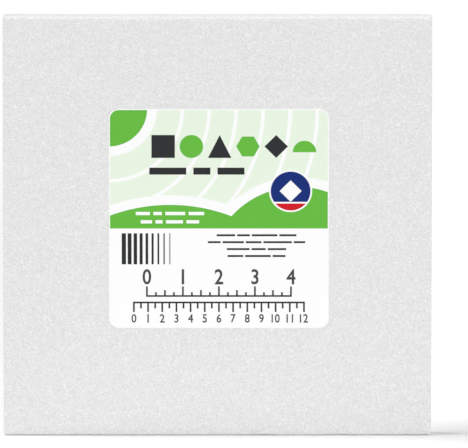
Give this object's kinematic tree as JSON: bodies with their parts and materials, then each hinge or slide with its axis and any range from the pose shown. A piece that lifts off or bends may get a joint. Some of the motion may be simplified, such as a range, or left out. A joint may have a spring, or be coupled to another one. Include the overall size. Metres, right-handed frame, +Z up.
{
  "type": "craft foam block",
  "caption": "Square white craft foam board with softened edges and a paper label on its front face; it stands on a cut edge or lies flat.",
  "frame": {"origin": "middle of the lower cut edge that the board stands on, halfway through its thickness", "axes": "+X along the board's width, to the right as the label is read; -Y out of the front face that carries the label; +Z up the board's height"},
  "size_m": [0.3024, 0.0128, 0.3023],
  "materials": {
    "foam": "matte",
    "label_paper": "satin",
    "pale_green_ink": "satin",
    "green_ink": "satin",
    "dark_grey_ink": "satin",
    "blue_ink": "satin",
    "red_ink": "satin"
  },
  "bodies": {
    "root": {"foam_block": "foam", "label": "label_paper", "label_sky": "pale_green_ink", "label_hills": "green_ink", "label_marks": "dark_grey_ink", "label_badge": "blue_ink", "label_badge_foot": "red_ink"}
  },
  "joints": []
}
